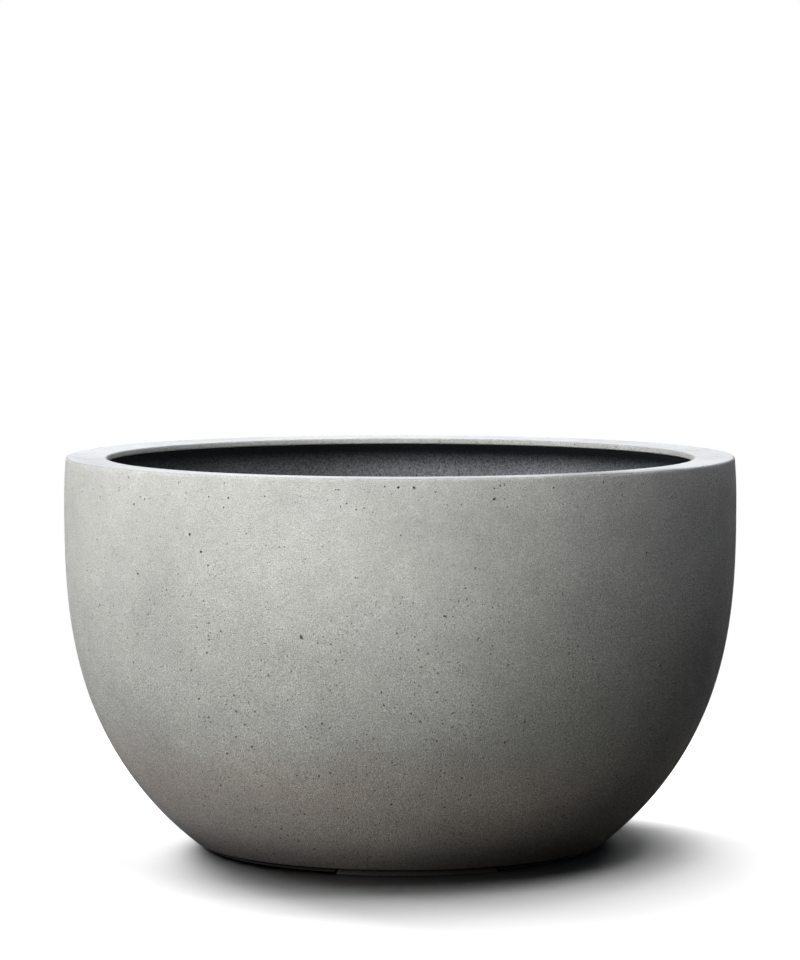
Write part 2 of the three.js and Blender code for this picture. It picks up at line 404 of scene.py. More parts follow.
# %% Keep the hollows apart
PORE_GAP = 0.8 * MM
BORDER = 3 * MM


def room_for(kept, centre, along, width):
    """True if a pore lies clear of the seam, the borders and its neighbours."""
    reach = width / 2 + PORE_GAP
    if not reach < centre < strip_width - reach:
        return False
    if not run[0] + BORDER < along < run[-1] - reach:
        return False
    return all(math.hypot(centre - c, along - a) > reach + w / 2 for c, a, w in kept)


flat = []
kept = []
for angle, along, width, depths in hollows:
    centre = (angle / FULL_TURN + 0.5) % 1 * strip_width
    if not room_for(kept, centre, along, width):
        continue
    kept.append((centre, along, width))
    points_round = 9 if width < 2 * MM else 14
    flat.extend(ring_points(centre, along, width, points_round, depths))
print(len(kept), "hollows kept,", len(flat), "points in them")

# %% [markdown]
# Between the hollows the skin needs only a coarse grid, one point where each row of the section
# meets each column. Points inside a pore or too close to it are left out. The triangulation
# then picks triangles as even as they can be, so the mesh grows finer towards each pore by itself.

# %% Fill in the grid and triangulate
COLUMNS = 360

centres = np.array(kept)
columns = np.arange(COLUMNS + 1) * strip_width / COLUMNS
grid = []
for row, along in enumerate(run):
    near = np.abs(centres[:, 1] - along) < centres[:, 2] / 2 + 1 * MM
    clear = np.ones(COLUMNS + 1, bool)
    for centre, pore_along, width in centres[near]:
        stretch = bowl_radius / line[row, 0]
        apart = np.hypot((columns - centre) / stretch, along - pore_along)
        clear &= apart > width / 2 * 1.15 + 0.35 * MM
    grid.extend((x, along, 0.0) for x in columns[clear])
flat.extend(grid)

sheet = [Vector(p[:2]) for p in flat]
spots, _, triangles, origins, _, _ = delaunay_2d_cdt(sheet, [], [], 0, 1e-7)
print(len(spots), "points and", len(triangles), "triangles in the flat skin")

# %% [markdown]
# To roll the strip up, each point finds its radius and height on the section and its angle from how
# far along the strip it is. A point of a pore is also pushed in, square to the skin. The two ends
# of the strip meet at the back, where doubled points are merged later.

# %% Roll the skin up and sink the pores


def turned(radius, height, angle):
    """The point at a radius, height and angle, where angle 0 is the front."""
    return radius * math.sin(angle), -radius * math.cos(angle), height


skin_points = []
sunk = []
for spot, origin in zip(spots, origins):
    deep = flat[origin[0]][2]
    sunk.append(deep / MM)
    radius, height = (float(np.interp(spot.y, run, line[:, axis])) for axis in (0, 1))
    out_r, out_z = (float(np.interp(spot.y, run, outward[:, axis])) for axis in (0, 1))
    angle = spot.x / strip_width * FULL_TURN - math.pi
    skin_points.append(turned(radius - out_r * deep, height - out_z * deep, angle))
print("deepest pore:", round(max(sunk), 2), "mm")

# %% [markdown]
# The hidden rest of the casting is a plain revolve. `lathe` is used again for the lining and the
# plug, so it takes any line of points and can close it into a ring. `mesh_object` can also store a
# number at each point. Here it is the depth below the skin, and the concrete reads it later to
# darken the inside of each pore: partly dust, which gathers there, and partly painted shade, since
# that inside never sees much light.

# %% Write helpers for meshes
MERGE = 2e-6  # metres: points closer than this are one point


def lathe(points, columns, first=0):
    """Vertices and faces of a line turned round the Z axis. Faces look right of the line."""
    places = []
    faces = []
    for r, z in points:
        places += [turned(r, z, FULL_TURN * c / columns - math.pi) for c in range(columns)]
    for row in range(len(points) - 1):
        for c in range(columns):
            a = first + row * columns + c
            b = first + row * columns + (c + 1) % columns
            faces.append((a, b, b + columns, a + columns))
    return places, faces


def clean(mesh, most_corners=None):
    """Merges doubled points, and splits faces with more corners than told into sound triangles."""
    work = bmesh.new()
    work.from_mesh(mesh)
    bmesh.ops.remove_doubles(work, verts=work.verts, dist=MERGE)
    bmesh.ops.dissolve_degenerate(work, edges=work.edges, dist=MERGE)
    if most_corners:
        large = [face for face in work.faces if len(face.verts) > most_corners]
        bmesh.ops.triangulate(work, faces=large, ngon_method="BEAUTY")
    work.to_mesh(mesh)
    work.free()


def mesh_object(name, points, faces, marks=None):
    """An object from points and faces, with doubled points merged. Marks are numbers per point."""
    mesh = bpy.data.meshes.new(name)
    mesh.from_pydata(points, [], faces)
    if marks:
        mesh.attributes.new("depth_mm", "FLOAT", "POINT").data.foreach_set("value", marks)
    clean(mesh)
    made = bpy.data.objects.new(name, mesh)
    bpy.context.scene.collection.objects.link(made)
    return made


# %% Turn the hidden rest
hidden_points, hidden_faces = lathe([tuple(p) for p in hidden_line], COLUMNS, len(skin_points))
shell = mesh_object("cast_shell", skin_points + hidden_points, list(triangles) + hidden_faces,
                    marks=sunk + [0.0] * len(hidden_points))
print("shell mesh:", len(shell.data.vertices), "points,", len(shell.data.polygons), "faces")

# %% [markdown]
# ## Notches for the foot pads
#
# The foot ring is one turned shape, but it is interrupted where the pads sit. Turning can't do
# that, so the notches are cut out afterwards, with the Boolean modifier and one cutter per pad. The
# cutter is swept along an arc, and its ends lean the way the pad's ends do. The same sweep makes
# the pads.
#
# A Boolean leaves faces with many corners along the cut, and an export that splits them carelessly
# tears the mesh. So they are split here, into the best triangles that Blender finds.

# %% Measure the pads and their notches
PADS = 3
PAD_STEPS = 46
pad_arc = math.radians(46)
pad_turn = math.radians(5)
pad_slant = 3.5 * MM
pad_end_gap = 3 * MM
pad_outer = ring_outer + 1.8 * MM
pad_inner = pad_outer - 24 * MM
notch_top = foot_height + 1 * MM
seat_gap = 0.3 * MM
overrun = 1 * MM  # the cutter reaches this far past what it cuts


def pad_half_angle(height, room=0):
    """Half the angle a pad spans at a height, with room added at each end."""
    return pad_arc / 2 - (pad_slant * height / notch_top - room) / pad_outer


print("a pad spans in degrees, at the ground and at its top:",
      [round(math.degrees(2 * pad_half_angle(h)), 1) for h in (0, notch_top)])

# %% Write the sweep along an arc


def tube_faces(size, rows):
    """Faces of a tube of rows of points, with a face over each end."""
    faces = [tuple(range(size)), tuple((rows - 1) * size + i for i in reversed(range(size)))]
    for row in range(rows - 1):
        for i in range(size):
            a, b = row * size + i, row * size + (i + 1) % size
            faces.append((a, a + size, b + size, b))
    return faces


def swept_arc(name, section, half_angle, steps, turn):
    """A closed section run along an arc round the Z axis."""
    places = []
    for step in range(steps + 1):
        share = 2 * step / steps - 1
        places += [turned(r, z, turn + share * half_angle(z)) for r, z in section]
    return mesh_object(name, places, tube_faces(len(section), steps + 1))


# %% Write the cut and the smooth shading
SHARP_DEGREES = 38


def cut(obj, cutter):
    """Takes the cutter away from an object and deletes the cutter."""
    modifier = obj.modifiers.new("cut", "BOOLEAN")
    modifier.object = cutter
    modifier.solver = "EXACT"
    bpy.context.view_layer.update()
    finished = obj.evaluated_get(bpy.context.evaluated_depsgraph_get())
    old = obj.data
    obj.data = bpy.data.meshes.new_from_object(finished)
    obj.data.name = old.name
    obj.modifiers.clear()
    bpy.data.objects.remove(cutter)


def smooth(obj, degrees=SHARP_DEGREES):
    """Smooth shading that stays crisp where faces meet at more than an angle."""
    obj.data.shade_smooth()
    obj.data.set_sharp_from_angle(angle=math.radians(degrees))


# %% Cut the notches
notch = [(ring_inner - overrun, -overrun), (pad_outer + seat_gap, -overrun),
         (pad_outer + seat_gap, notch_top), (ring_inner - overrun, notch_top)]
for pad in range(PADS):
    turn = pad_turn + pad * FULL_TURN / PADS
    cut(shell, swept_arc("notch", notch, lambda z: pad_half_angle(z, pad_end_gap), PAD_STEPS, turn))
clean(shell.data, most_corners=4)
smooth(shell)
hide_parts("concrete_shell")
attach(shell, "planter")
print("shell after the notches:", len(shell.data.polygons), "faces")

# %% [markdown]
# ## Concrete
#
# Concrete is a dull grey at first sight, and it is made of at least four things: slow clouds where
# the mix dried unevenly, patches a few centimetres wide, a salt-and-pepper grain of sand, and pin
# holes too many to model. Each is one texture at its own scale. Nothing here shines, so the detail
# is all in the colour and in a very fine bump.
#
# A material is a tree of nodes. One helper adds a node with its values and links, and the others
# stand for a noise of a real size, a smooth change, a product and a tint.

# %% Write helpers for node trees


def add_node(tree, kind, sockets=None, **settings):
    """Adds a node. A socket given another node's output is linked to it, any other value is set."""
    made = tree.nodes.new(kind)
    for name, value in settings.items():
        setattr(made, name, value)
    for name, value in (sockets or {}).items():
        if isinstance(value, bpy.types.NodeSocket):
            tree.links.new(value, made.inputs[name])
        else:
            made.inputs[name].default_value = value
    return made


def new_material(name):
    """An empty material, its node tree, and its object coordinates in metres."""
    material = bpy.data.materials.new(name)
    material.use_nodes = True
    material.node_tree.nodes.clear()
    coordinates = add_node(material.node_tree, "ShaderNodeTexCoord").outputs["Object"]
    return material, material.node_tree, coordinates


# %% Write helpers for tones


def noise(tree, coordinates, size, low, high, detail=3.0, roughness=0.5, seed=0.0):
    """A noise whose features are about `size` metres wide, spread from low to high."""
    texture = add_node(tree, "ShaderNodeTexNoise", {
        "Vector": coordinates, "Scale": 1 / size, "Detail": detail, "Roughness": roughness,
        "W": seed}, noise_dimensions="4D")
    return add_node(tree, "ShaderNodeMapRange", {
        "Value": texture.outputs["Fac"], "From Min": 0.3, "From Max": 0.7,
        "To Min": low, "To Max": high}).outputs["Result"]


def between(tree, value, start, end, low=0.0, high=1.0):
    """A value that goes smoothly from low at start to high at end."""
    return add_node(tree, "ShaderNodeMapRange", {
        "Value": value, "From Min": start, "From Max": end, "To Min": low, "To Max": high},
        interpolation_type="SMOOTHSTEP").outputs["Result"]


def times(tree, *values):
    """All the values multiplied together."""
    product = values[0]
    for value in values[1:]:
        product = add_node(tree, "ShaderNodeMath", {0: product, 1: value},
                           operation="MULTIPLY").outputs["Value"]
    return product


def tinted(tree, color, amount, blend="MULTIPLY", share=1.0):
    """A colour changed by another colour or by a grey amount."""
    mix = add_node(tree, "ShaderNodeMix", {0: share, 6: color, 7: amount},
                   data_type="RGBA", blend_type=blend)
    return mix.outputs[2]


# %% [markdown]
# Noise alone never puts a cloud in the right place. The few clouds that are plain in the
# photograph, pale or dull, are listed one by one. Each has a middle and a reach, and fades away in
# between.

# %% Place the clouds
SIDE_CLOUDS = [
    (-11.9, 303, 65, 1.10), (-17.6, 269, 55, 1.07), (0.0, 258, 85, 1.09), (5.3, 158, 65, 1.12),
    (19.9, 74, 45, 1.11), (-44.0, 231, 95, 0.86), (-26.9, 204, 75, 0.91), (28.2, 246, 65, 0.93),
    (-7.3, 99, 50, 0.93), (-52.0, 98, 80, 0.89), (24.5, 322, 60, 1.07), (9.3, 257, 50, 1.06),
    # The two clouds 16 and 8 mm over the ground, right of the front, are painted shade at the base.
    (40.0, 16, 95, 0.60), (17.0, 8, 95, 0.62), (57.0, 222, 85, 1.11), (8.0, 290, 80, 0.94),
    (-23.0, 135, 75, 1.06)]  # angle, height mm, reach mm, change of tone
RIM_CLOUDS = [
    (35, 312, 95, 0.42), (10, 300, 150, 0.80), (50, 306, 45, 0.55), (-62, 285, 210, 0.86),
    (180, 285, 200, 1.08)]  # angle, distance from the axis mm, reach mm, change of tone


def placed_clouds(tree, place, clouds):
    """The product of clouds, each with a middle, a reach in mm and a change of tone."""
    changes = []
    for middle, reach, change in clouds:
        apart = add_node(tree, "ShaderNodeVectorMath", {0: place, 1: middle}, operation="DISTANCE")
        changes.append(between(tree, apart.outputs["Value"], reach * MM, 0.0, 1.0, change))
    return times(tree, *changes)


def cloudy_grey(tree, place, base):
    """The base colour with clouds, patches and faint differences of hue."""
    clouds = noise(tree, place, 0.17, 0.95, 1.045, detail=2.0)
    patches = noise(tree, place, 0.034, 0.925, 1.07, detail=5.0, roughness=0.62, seed=3.0)
    sand = noise(tree, place, 0.0065, 0.96, 1.035, detail=2.0, seed=9.0)
    placed = placed_clouds(tree, place, [
        (turned(side_radius(height * MM), height * MM, math.radians(angle)), reach, change)
        for angle, height, reach, change in SIDE_CLOUDS])
    tone = tinted(tree, (*base, 1), times(tree, clouds, patches, sand, placed))
    hue = noise(tree, place, 0.05, 0.0, 1.0, detail=4.0, roughness=0.7, seed=12.0)
    return tinted(tree, tone, (1.012, 0.994, 0.985, 1), share=hue)


# %% [markdown]
# Pin holes are the smallest bubbles, of one or two millimetres. A Voronoi texture divides space
# into cells, and a dark spot in the middle of some of the cells makes holes of one size. The dark
# is painted shade, standing for the inside of each hole, and the bump gives the dip. Three sizes
# are mixed, and a slow noise crowds them here and there. Pale grains of sand and lime are made the
# same way.

# %% Prick the pin holes
HOLE_SHADE_TINT = (0.38, 0.37, 0.36, 1)
FLECK_TINT = (1.25, 1.25, 1.24, 1)
BLOOM_TINT = (1.32, 1.32, 1.31, 1)


def pinholes(tree, coordinates, size, share):
    """1 in the pin holes, which are about `size` wide, and 0 elsewhere."""
    cells = add_node(tree, "ShaderNodeTexVoronoi", {
        "Vector": coordinates, "Scale": 0.3 / size, "Randomness": 1.0})
    near = add_node(tree, "ShaderNodeMapRange", {
        "Value": cells.outputs["Distance"], "From Min": 0.16, "From Max": 0.10})
    lucky = add_node(tree, "ShaderNodeSeparateColor", {"Color": cells.outputs["Color"]})
    chosen = add_node(tree, "ShaderNodeMath", {0: lucky.outputs["Red"], 1: share},
                      operation="LESS_THAN")
    return times(tree, near.outputs["Result"], chosen.outputs["Value"])


def pitted(tree, place, height, tone):
    """The colour with pin holes, more and larger ones low down, and light flecks. And the holes."""
    crowd = times(tree, noise(tree, place, 0.03, -0.35, 1.85, detail=2.0, seed=15.0),
                  between(tree, height, 0.32, 0.22, 0.25, 1.2))
    small = times(tree, pinholes(tree, place, 1.1 * MM, 0.6), crowd)
    large = times(tree, pinholes(tree, place, 1.6 * MM, 0.35), crowd)
    larger = times(tree, pinholes(tree, place, 2.2 * MM, 0.28), crowd,
                   between(tree, height, 0.25, 0.18))
    fine = add_node(tree, "ShaderNodeMath", {0: small, 1: large}, operation="MAXIMUM")
    holes = add_node(tree, "ShaderNodeMath", {0: fine.outputs["Value"], 1: larger},
                     operation="MAXIMUM", use_clamp=True).outputs["Value"]
    # Painted shade: the pin holes are dark spots in the colour, for the shade inside each hole.
    tone = tinted(tree, tone, HOLE_SHADE_TINT, share=holes)
    tone = tinted(tree, tone, FLECK_TINT, share=pinholes(tree, place, 0.8 * MM, 0.3))
    bloom = times(tree, pinholes(tree, place, 1.3 * MM, 0.26), crowd)
    return tinted(tree, tone, BLOOM_TINT, share=bloom), holes


# %% [markdown]
# The concrete also changes over the bowl. The rim was struck off smooth, so it has hardly any
# grain.
# Where it looks up it is painted cooler and a little darker, for the cool light from above, and its
# rounded edges are painted duller, as shade that tones down their highlight. The right side is
# rougher, and painted a cooler grey for the cool light there. Low down, dust and splashes turn the
# grey brown and make the grain stronger. The last centimetres over the ground and the ring of the
# foot are painted darkest, as the shade under the bowl. The height and the way that a face looks
# tell the material where it is, so no mask is drawn on the mesh.

# %% Grade the sand grain


def sand_grain(tree, place, across, height, upward):
    """Fine light and dark grain, stronger low down and to the right and weak on the rim."""
    grain = noise(tree, place, 0.8 * MM, 0.5, 1.5, detail=1.5, roughness=0.6, seed=5.0)
    to_the_right = times(tree, between(tree, across, 0.0, 0.22, 0.0, 0.55),
                         between(tree, height, 0.12, 0.24, 0.3, 1.0))
    rougher = add_node(tree, "ShaderNodeMath", {
        0: between(tree, height, 0.34, 0.10, 0.62, 1.35), 1: to_the_right})
    strength = times(tree, rougher.outputs["Value"],
                     between(tree, upward, 0.75, 0.97, 1.0, 0.15))
    return add_node(tree, "ShaderNodeMath", {0: grain, 1: strength},
                    operation="POWER").outputs["Value"]


# %% Mix the concrete
RIM_COOL_LIGHT_TINT = (0.90, 0.915, 0.955, 1)
EDGE_SHADE_TINT = (0.80, 0.80, 0.81, 1)
LIP_TINT = (0.85, 0.85, 0.845, 1)
COOL_RIGHT_LIGHT_TINT = (1.018, 1.0, 1.042, 1)
LOW_TINT = (1.105, 1.0, 0.965, 1)


def concrete(name, base, brown_top, foot_shade=1.0):
    """Concrete: smooth where it looks up, browner and rougher below a height, with painted shade
    and light.
    """
    material, tree, place = new_material(name)
    across, deep, height = add_node(tree, "ShaderNodeSeparateXYZ", {"Vector": place}).outputs
    facing = add_node(tree, "ShaderNodeNewGeometry").outputs["Normal"]
    upward = add_node(tree, "ShaderNodeSeparateXYZ", {"Vector": facing}).outputs["Z"]
    struck = between(tree, upward, 0.25, 0.75)
    edge = times(tree, between(tree, upward, 0.2, 0.6), between(tree, upward, 0.99, 0.93))
    low = between(tree, height, brown_top, brown_top / 2)

    from_axis = add_node(tree, "ShaderNodeVectorMath", {
        0: add_node(tree, "ShaderNodeCombineXYZ", {"X": across, "Y": deep}).outputs["Vector"]},
        operation="LENGTH").outputs["Value"]
    on_lip = times(tree, between(tree, from_axis, lip_radius + 3 * MM, lip_radius + 0.8 * MM),
                   between(tree, height, lip_bottom - 10 * MM, lip_bottom - 5 * MM))
    cool_light_right = times(tree, between(tree, across, 0.15, 0.19, 0.0, 0.75),
                       between(tree, height, 0.14, 0.20), between(tree, upward, 0.6, 0.3))

    tone = cloudy_grey(tree, place, base)
    # Pale and dull patches on the rim; the dull ones at its front right are painted shade, where
    # that part gets less light.
    rim_patches_and_shade = placed_clouds(tree, place, [
        (turned(out * MM, rim_height, math.radians(angle)), reach, change)
        for angle, out, reach, change in RIM_CLOUDS])
    # Painted light: where the rim looks up it is cooler and a little darker, for the cool light
    # from above.
    tone = tinted(tree, tone, tinted(tree, RIM_COOL_LIGHT_TINT, rim_patches_and_shade), share=struck)
    # Painted shade on the rim's rounded edges, which dulls their highlight.
    tone = tinted(tree, tone, EDGE_SHADE_TINT, share=edge)
    tone = tinted(tree, tone, LIP_TINT, share=on_lip)
    # A cooler grey painted on the right side, for the cool light that falls there.
    tone = tinted(tree, tone, COOL_RIGHT_LIGHT_TINT, share=cool_light_right)
    browner = times(tree, low, noise(tree, place, 0.06, 0.75, 1.15, detail=3.0, seed=2.0))
    tone = tinted(tree, tone, LOW_TINT, share=browner)
    # Painted shade: darker over the last 43 mm above the ground, under the bowl's curve.
    tone = tinted(tree, tone, between(tree, height, 43 * MM, 6 * MM, 1.0, 0.45))
    # Painted shade on the foot ring, which stands back in the shadow under the bowl's edge.
    under = between(tree, height, foot_height + 0.4 * MM, foot_height - 0.4 * MM, 1.0, foot_shade)
    tone = tinted(tree, tone, under)

    grain = sand_grain(tree, place, across, height, upward)
    tone, holes = pitted(tree, place, height, tinted(tree, tone, grain))

    # The pores are darker the deeper they lie: partly dust, partly painted shade inside the hollow.
    depth = add_node(tree, "ShaderNodeAttribute", attribute_name="depth_mm").outputs["Fac"]
    tone = tinted(tree, tone, between(tree, depth, 0.05, 0.9, 1.0, 0.6))

    relief = add_node(tree, "ShaderNodeMath", {0: grain, 1: times(tree, holes, 2.0)},
                      operation="SUBTRACT")
    bump = add_node(tree, "ShaderNodeBump", {
        "Height": relief.outputs["Value"], "Strength": 0.9, "Distance": 0.45 * MM})
    shader = add_node(tree, "ShaderNodeBsdfPrincipled", {
        "Base Color": tone, "Roughness": noise(tree, place, 0.02, 0.78, 0.95, seed=4.0),
        "Specular IOR Level": 0.12, "Normal": bump.outputs["Normal"]})
    add_node(tree, "ShaderNodeOutputMaterial", {"Surface": shader.outputs["BSDF"]})
    return material


# %% Coat the shell


def coat(obj, material):
    """Gives an object one material."""
    obj.data.materials.clear()
    obj.data.materials.append(material)


coat(shell, concrete("cast_concrete", (0.53, 0.535, 0.508), 0.14, foot_shade=0.13))
print("concrete on", shell.name, "with", len(SIDE_CLOUDS), "clouds on the side and",
      len(RIM_CLOUDS), "on the rim")

# %% [markdown]
# ## The dark lining
#
# Inside, the casting is backed with a laminate of cement, resin and fibre, and coated dark. It is
# laid on by hand, so the surface is uneven: gentle swells, and a gritty skin. The swells are moved
# vertices, because the light grazes this wall under the lip. The grit is colour and bump.

# %% Draw the lining
liner_thickness = 3 * MM
feather = 11 * MM  # under the lip the laminate thins out to a fine edge over this distance
FINEST_EDGE = 0.1  # of the laminate's thickness


def offset(points, distances):
    """A line of points moved to the left of its own direction, by one distance or one for each."""
    line = np.array([tuple(p) for p in points])
    along = np.gradient(line, axis=0)
    along /= np.linalg.norm(along, axis=1)[:, None]
    left = np.stack([-along[:, 1], along[:, 0]], axis=1)
    return [tuple(p) for p in line + left * np.broadcast_to(distances, len(line))[:, None]]


backing_line = rounded([
    (lip_radius + 4 * MM, lip_bottom - 0.9 * MM),
    (*inner_wall(lip_bottom - lip_slope), lip_fillet),
    *[inner_wall(h) for h in np.linspace(lip_bottom - 26 * MM, 44 * MM, 60)],
    (floor_radius, floor_top, 24 * MM, 10),
    *[(r * MM, floor_top) for r in range(140, 20, -12)],
    (drain_radius + chamfer, floor_top)])
glued_side = offset(backing_line, -seat_gap)
steps_back = [(b - a).length for a, b in zip(backing_line, backing_line[1:])]
from_edge = np.concatenate([[0], np.cumsum(steps_back)])
thickness = liner_thickness * np.clip(from_edge / feather, FINEST_EDGE, 1)
bare_side = offset(backing_line, -seat_gap - thickness)
print(len(bare_side), "rows in the bare side of the lining")

# %% Turn the lining and raise its swells
LINER_COLUMNS = 240
swell = 0.35 * MM
WIDE_SWELL = 50 * MM
NARROW_SWELL = 17 * MM

liner_points, liner_faces = lathe([*reversed(glued_side), *bare_side, glued_side[-1]],
                                  LINER_COLUMNS)
first_bare = len(glued_side) * LINER_COLUMNS
last_bare = first_bare + len(bare_side) * LINER_COLUMNS
for i in range(first_bare, last_bare):
    point = Vector(liner_points[i])
    inward = Vector((-point.x, -point.y, 0)).normalized()
    wide = mathutils.noise.noise(point / WIDE_SWELL)
    narrow = mathutils.noise.noise(point / NARROW_SWELL)
    liner_points[i] = tuple(point + inward * swell * (wide / 2 + narrow / 2 + 1))
lining = mesh_object("dark_lining", liner_points, liner_faces)
smooth(lining)
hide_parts("fibre_liner")
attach(lining, "planter")
print("lining mesh:", len(lining.data.polygons), "faces")

# %% [markdown]
# The coat is a charcoal paint full of fine grit. Under the lip it is painted near black, and at two
# places at the back it is painted duller: both are painted shade. The grit is one noise, used both
# for the colour and for the bump, so that light and relief agree.

# %% Mix the lining's coat
SHADE_UNDER_LIP_COAT = (0.024, 0.024, 0.026, 1)
OPEN_WALL_COAT = (0.235, 0.245, 0.258, 1)
GRIT = 1.3 * MM
# Painted shade: two duller places at the back of the lining, under the lip.
LINING_SHADE_SPOTS = [(-160.5, 288, 323, 90, 0.74), (160.5, 288, 312, 80, 0.84)]  # as above, with height


def dark_coat(name):
    """Charcoal grey with a fine speckle, painted near black under the lip and duller at two places,
    as shade.
    """
    material, tree, place = new_material(name)
    height = add_node(tree, "ShaderNodeSeparateXYZ", {"Vector": place}).outputs["Z"]
    out_of_lip_shade = between(tree, height, lip_bottom - 6 * MM, lip_bottom - 30 * MM)
    shaded_places = [(turned(out * MM, up * MM, math.radians(angle)), reach, change)
                   for angle, out, up, reach, change in LINING_SHADE_SPOTS]
    clouds = times(tree, noise(tree, place, 0.08, 0.85, 1.12, detail=3.0),
                   placed_clouds(tree, place, shaded_places))
    speckle = noise(tree, place, GRIT, 0.25, 1.75, detail=2.0, roughness=0.7, seed=2.0)
    # Painted shade: near black under the lip, fading to the coat's own grey lower down.
    tone = tinted(tree, SHADE_UNDER_LIP_COAT, OPEN_WALL_COAT, blend="MIX", share=out_of_lip_shade)
    tone = tinted(tree, tone, times(tree, clouds, speckle))
    bump = add_node(tree, "ShaderNodeBump", {
        "Height": speckle, "Strength": 0.7, "Distance": 0.4 * MM})
    shader = add_node(tree, "ShaderNodeBsdfPrincipled", {
        "Base Color": tone, "Roughness": 0.85, "Specular IOR Level": 0.12,
        "Normal": bump.outputs["Normal"]})
    add_node(tree, "ShaderNodeOutputMaterial", {"Surface": shader.outputs["BSDF"]})
    return material


coat(lining, dark_coat("charcoal_coat"))
print("coat of", len(lining.data.materials[0].node_tree.nodes), "nodes on", lining.name)

# %% [markdown]
# ## Foot pads
#
# The pads are cast blocks set into the ring, standing a little proud of it. They are made with the
# same sweep as the notches, so the slits between pad and ring are even all along the slanted ends.

# %% Cast the pads
PAD_EDGE = 0.8 * MM
pad_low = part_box("foot_pad_1")[0]
pad_section = rounded([
    (pad_inner, pad_low.z, PAD_EDGE),
    (pad_outer, pad_low.z, PAD_EDGE),
    (pad_outer, notch_top - seat_gap, PAD_EDGE),
    (pad_inner, notch_top - seat_gap, PAD_EDGE)])
# The pads' grey is far darker than the shell's: painted shade, as they stand in shadow under the
# bowl, with some dirt.
shaded_pad_concrete = concrete("shaded_pad_concrete", (0.09, 0.089, 0.084), 0.01)
for pad in range(PADS):
    block = swept_arc(f"foot_block_{pad + 1}", [tuple(p) for p in pad_section], pad_half_angle,
                      PAD_STEPS * 2, pad_turn + pad * FULL_TURN / PADS)
    smooth(block)
    coat(block, shaded_pad_concrete)
    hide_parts(f"foot_pad_{pad + 1}")
    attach(block, "planter")
print(PADS, "pads of", len(block.data.polygons), "faces")

# %% [markdown]
# ## The drain plug
#
# A rubber bung closes the drain hole from inside. Its stem carries ribs that are wider towards the
# top, so it goes in easily and holds on. Pulling it means pinching a tab with a bead, and ridges on
# the tab keep wet fingers from slipping. The body is a turned drawing, and the tab is a second
# closed form that starts inside the head, as it would leave the mould in one piece.

# %% Turn the plug
plug_low, plug_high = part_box("drain_plug")
PLUG_COLUMNS = 96
HEAD_ROOM = 0.02 * MM
head_radius = (plug_high.x - plug_low.x) / 2 - HEAD_ROOM
head_bottom = floor_top + seat_gap + liner_thickness + seat_gap
head_top = head_bottom + 5 * MM
groove_radius = head_radius - 5.5 * MM
groove_depth = 0.5 * MM
rib_reach = 1.4 * MM
stem_radius = drain_radius - seat_gap - rib_reach
tip_radius = stem_radius - rib_reach
rib_length = 3.2 * MM
RIBS = 2


def stem_ribs(low, high):
    """Corners of the ribs: each widens slowly upwards and ends in a flat shoulder."""
    pitch = (high - low) / RIBS
    corners = []
    for rib in range(RIBS):
        start = low + rib * pitch
        shoulder = start + rib_length
        corners += [(stem_radius, start),
                    (stem_radius + rib_reach, shoulder - 0.3 * MM, 0.25 * MM, 2),
                    (stem_radius + rib_reach - 0.2 * MM, shoulder), (stem_radius, shoulder)]
    return corners


plug_section = rounded([
    (0, plug_low.z),
    (tip_radius, plug_low.z, 0.5 * MM),
    *stem_ribs(plug_low.z + rib_reach, head_bottom),
    (stem_radius, head_bottom),
    (head_radius, head_bottom, 1.0 * MM),
    (head_radius, head_top, 2.2 * MM, 8),
    (groove_radius + 0.9 * MM, head_top, 0.3 * MM),
    (groove_radius + 0.5 * MM, head_top - groove_depth, 0.2 * MM),
    (groove_radius - 0.5 * MM, head_top - groove_depth, 0.2 * MM),
    (groove_radius - 0.9 * MM, head_top, 0.3 * MM),
    (0, head_top)])
plug_points, plug_faces = lathe([tuple(p) for p in plug_section], PLUG_COLUMNS)
print("plug body:", len(plug_section), "rows, head", round(2 * head_radius / MM, 1), "mm across")

# %% [markdown]
# The tab has one outline all along, drawn looking at its narrow end. Six copies of it stand in a
# row, and the outer ones are smaller, which rounds the ends. The faces between them close the form.

# %% Draw the pull tab
RIDGES = 5
BEAD_STEPS = 12
TAB_END = 0.8 * MM
bead = 3.5 * MM
neck = 2 * MM
ridge = 0.3 * MM
ridge_pitch = 0.95 * MM
tab_half = 11 * MM


def tab_outline():
    """Half thickness and height of the tab: a neck with small ridges, and a round bead on top."""
    bead_height = plug_high.z - bead
    side = [(neck + 0.9 * MM, head_top - 0.6 * MM), (neck + 0.35 * MM, head_top + 0.35 * MM),
            (neck, head_top + 1.1 * MM)]
    for step in range(RIDGES):
        height = head_top + (step + 2) * ridge_pitch
        side += [(neck, height - 0.3 * MM), (neck + ridge, height), (neck, height + 0.3 * MM)]
    meet = math.asin(neck / bead)
    for step in range(BEAD_STEPS + 1):
        angle = meet + (math.pi - meet) * step / BEAD_STEPS
        side.append((bead * math.sin(angle), bead_height - bead * math.cos(angle)))
    return side


tab_side = tab_outline()
tab_section = [*tab_side, *[(-t, z) for t, z in reversed(tab_side[:-1])]]
print(len(tab_section), "points round the tab's outline")

# %% Stand the tab on the head
tab_points = []
slices = [(-tab_half, 0.55), (-tab_half + TAB_END * 0.3, 0.85), (-tab_half + TAB_END, 1.0),
          (tab_half - TAB_END, 1.0), (tab_half - TAB_END * 0.3, 0.85), (tab_half, 0.55)]
for across, share in slices:
    top = plug_high.z - (1 - share) * TAB_END
    for thick, height in tab_section:
        spot = Vector((across, thick * share, min(height, top)))
        spot.rotate(Matrix.Rotation(pad_turn, 3, "Z"))
        tab_points.append(tuple(spot))
tab_faces = [tuple(len(plug_points) + i for i in face)
             for face in tube_faces(len(tab_section), len(slices))]

